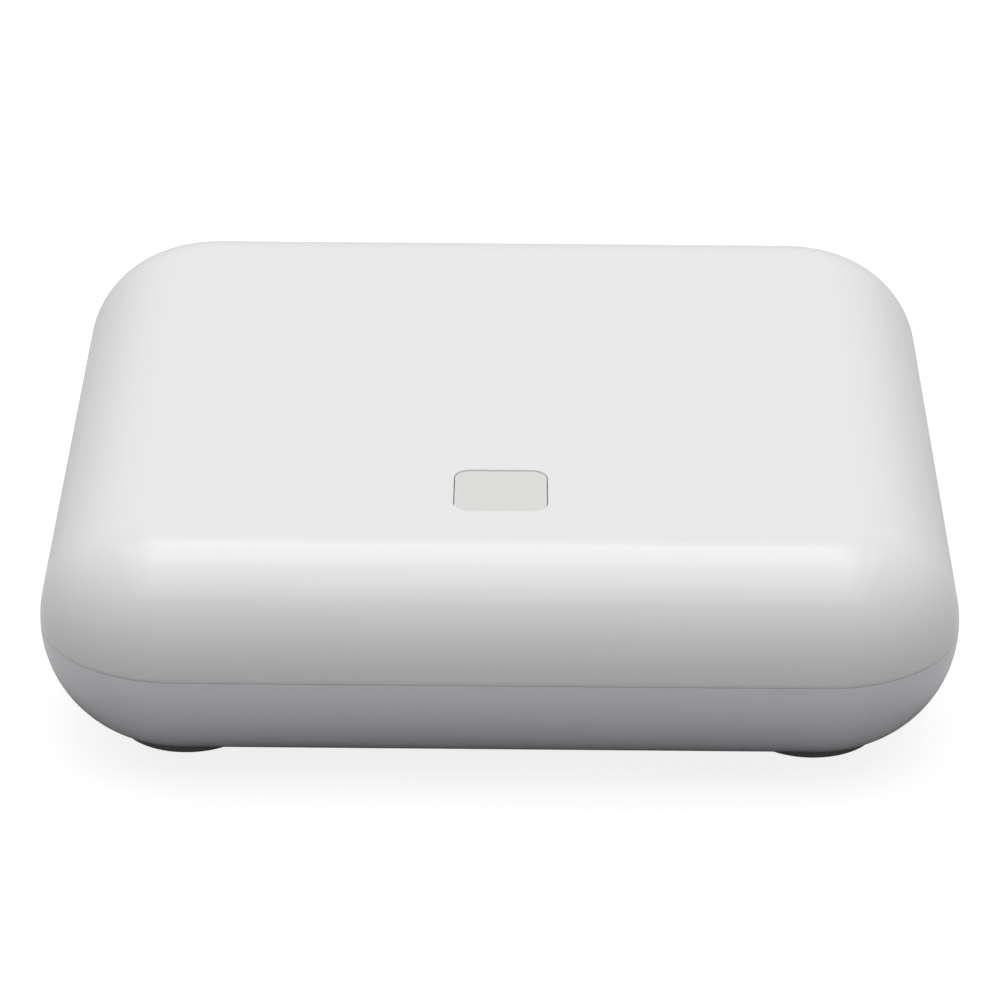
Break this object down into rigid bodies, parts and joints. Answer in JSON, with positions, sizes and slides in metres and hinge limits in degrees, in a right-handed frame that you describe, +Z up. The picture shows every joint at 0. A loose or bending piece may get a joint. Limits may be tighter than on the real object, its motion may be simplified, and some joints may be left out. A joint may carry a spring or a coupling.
{
  "type": "alarm hub",
  "caption": "Square alarm hub with rounded edges, an illuminated push button on the lid, four rubber feet and a rear bay for network and power sockets.",
  "frame": {"origin": "on the table under the middle of the case, level with the undersides of the feet", "axes": "+Z up through the lid, -Y towards the front, where the button is, +Y towards the socket bay, +X to the right seen from the front"},
  "size_m": [0.168, 0.168, 0.045],
  "materials": {
    "lid_plastic": "white moulded plastic with a soft gloss",
    "base_plastic": "white moulded plastic with a soft gloss, slightly cooler than the lid",
    "button_plastic": "translucent light grey plastic, lit from behind in use",
    "foot_rubber": "dark grey rubber",
    "circuit_board": "glass-filled resin board with green solder resist",
    "module_board": "glass-filled resin board with blue solder resist",
    "tinned_steel": "tinned sheet steel",
    "screw_steel": "zinc plated steel",
    "gold_contact": "gold plated spring contact",
    "black_plastic": "black moulded plastic",
    "dark_plastic": "dark grey moulded plastic",
    "white_plastic": "plain white moulded plastic",
    "lamp_resin": "pale lamp resin",
    "antenna_film": "copper on a dark film",
    "foam": "closed-cell foam",
    "paper_cone": "coated paper cone",
    "magnet_steel": "nickel plated magnet cup",
    "battery_wrap": "blue shrink film over two lithium cells",
    "ribbon_film": "flat cable film"
  },
  "bodies": {
    "case": {"base_shell": "base_plastic", "top_shell": "lid_plastic", "button_board": "circuit_board", "button_board_screws": "screw_steel", "button_switch": "black_plastic", "button_leds": "lamp_resin", "light_box": "white_plastic", "main_board": "circuit_board", "main_board_screws": "screw_steel", "processor_shield": "tinned_steel", "radio_module": "module_board", "radio_shield": "tinned_steel", "cellular_module": "module_board", "cellular_shield": "tinned_steel", "radio_antenna": "antenna_film", "cellular_antenna": "antenna_film", "ethernet_shield": "tinned_steel", "ethernet_insert": "black_plastic", "ethernet_contacts": "gold_contact", "power_inlet": "black_plastic", "power_inlet_pin": "tinned_steel", "power_switch": "tinned_steel", "reset_switch": "black_plastic", "tamper_switch": "black_plastic", "speaker_gasket": "foam", "speaker_frame": "black_plastic", "speaker_cone": "paper_cone", "speaker_magnet": "magnet_steel", "speaker_screws": "screw_steel", "battery_pack": "battery_wrap", "battery_clamp": "white_plastic", "clamp_screws": "screw_steel", "button_connector": "white_plastic", "ribbon_connector": "white_plastic", "ribbon_cable": "ribbon_film", "foot_front_left": "foot_rubber", "foot_front_right": "foot_rubber", "foot_rear_left": "foot_rubber", "foot_rear_right": "foot_rubber", "case_screws": "screw_steel"},
    "button": {"button_cap": "button_plastic", "button_switch_plunger": "dark_plastic"},
    "tamper": {"tamper_pin": "dark_plastic", "tamper_switch_plunger": "dark_plastic"},
    "reset": {"reset_switch_plunger": "dark_plastic"},
    "power_lever": {"power_switch_lever": "dark_plastic"}
  },
  "joints": [
    {"name": "button_press", "type": "slide", "parent": "case", "child": "button", "axis": [0, 0, -1], "range_m": [0, 0.0005], "stiffness_N_per_m": 3000},
    {"name": "tamper_press", "type": "slide", "parent": "case", "child": "tamper", "axis": [0, 0, 1], "range_m": [0, 0.0005], "stiffness_N_per_m": 2000},
    {"name": "reset_press", "type": "slide", "parent": "case", "child": "reset", "axis": [0, -1, 0], "range_m": [0, 0.0005], "stiffness_N_per_m": 3000},
    {"name": "power_slide", "type": "slide", "parent": "case", "child": "power_lever", "axis": [1, 0, 0], "range_m": [0, 0.0025]}
  ]
}
